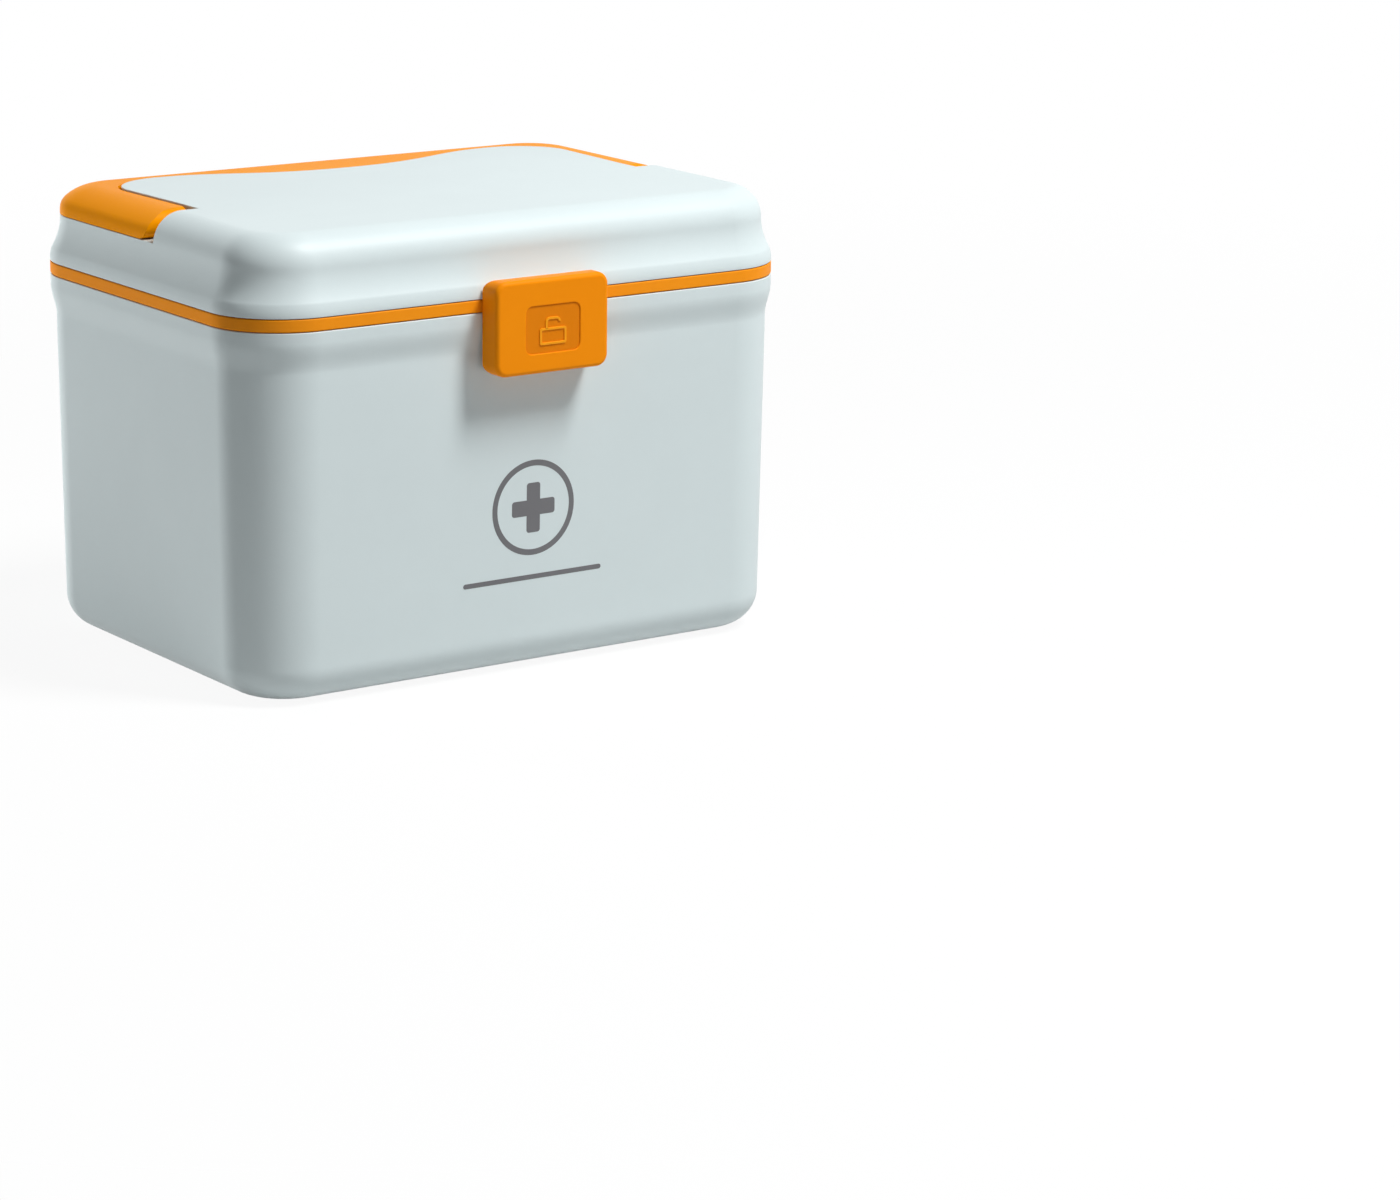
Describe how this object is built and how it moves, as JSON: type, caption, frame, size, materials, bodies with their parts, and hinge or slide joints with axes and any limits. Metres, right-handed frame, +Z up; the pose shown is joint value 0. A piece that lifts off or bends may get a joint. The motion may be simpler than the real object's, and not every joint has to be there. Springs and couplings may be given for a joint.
{
  "type": "medicine storage box",
  "caption": "Lidded box for home medicines with a seal band, front flap latch, fold-down carrying handle and a lift-out tray with loose dividers.",
  "frame": {"origin": "on the standing plane, under the middle of the box's overall outline", "axes": "+Z up, +Y from the latch towards the hinges, +X to the right as seen from the latch side"},
  "size_m": [0.26, 0.2072, 0.1856],
  "materials": {
    "shell_plastic": "satin moulded polypropylene, pale blue-grey",
    "handle_plastic": "satin moulded, warm orange",
    "inlay_plastic": "fine-grained moulded, deeper orange",
    "seal_rubber": "soft satin, orange",
    "foot_rubber": "matt, grey",
    "tray_plastic": "satin moulded, off-white",
    "divider_plastic": "smooth, off-white",
    "pin_steel": "plain zinc-plated"
  },
  "bodies": {
    "tub": {"body_tub": "shell_plastic", "seal_band": "seal_rubber", "foot_pad_front_left": "foot_rubber", "foot_pad_front_right": "foot_rubber", "foot_pad_rear_left": "foot_rubber", "foot_pad_rear_right": "foot_rubber", "hinge_pin_left": "pin_steel", "hinge_pin_right": "pin_steel"},
    "lid": {"lid_shell": "shell_plastic", "lid_liner": "shell_plastic", "liner_screw_1": "pin_steel", "liner_screw_2": "pin_steel", "liner_screw_3": "pin_steel", "liner_screw_4": "pin_steel", "handle_pin_left": "pin_steel", "handle_pin_right": "pin_steel", "latch_pin": "pin_steel"},
    "carrying_handle": {"handle": "handle_plastic"},
    "latch": {"latch_flap": "handle_plastic", "latch_inlay": "inlay_plastic"},
    "tray": {"inner_tray": "tray_plastic", "tray_divider_1": "divider_plastic", "tray_divider_2": "divider_plastic", "tray_divider_3": "divider_plastic"}
  },
  "joints": [
    {"name": "lid_hinge", "type": "hinge", "parent": "tub", "child": "lid", "pos_m": [0, 0.099, 0.152], "axis": [-1, 0, 0], "range_deg": [0, 105]},
    {"name": "handle_pivot", "type": "hinge", "parent": "lid", "child": "carrying_handle", "pos_m": [0, 0.0019, 0.17945], "axis": [1, 0, 0], "range_deg": [0, 120]},
    {"name": "latch_pivot", "type": "hinge", "parent": "lid", "child": "latch", "pos_m": [0, -0.0975, 0.1584], "axis": [-1, 0, 0], "range_deg": [0, 90]},
    {"name": "tray_lift", "type": "slide", "parent": "tub", "child": "tray", "axis": [0, 0, 1], "range_m": [0, 0.01]}
  ]
}
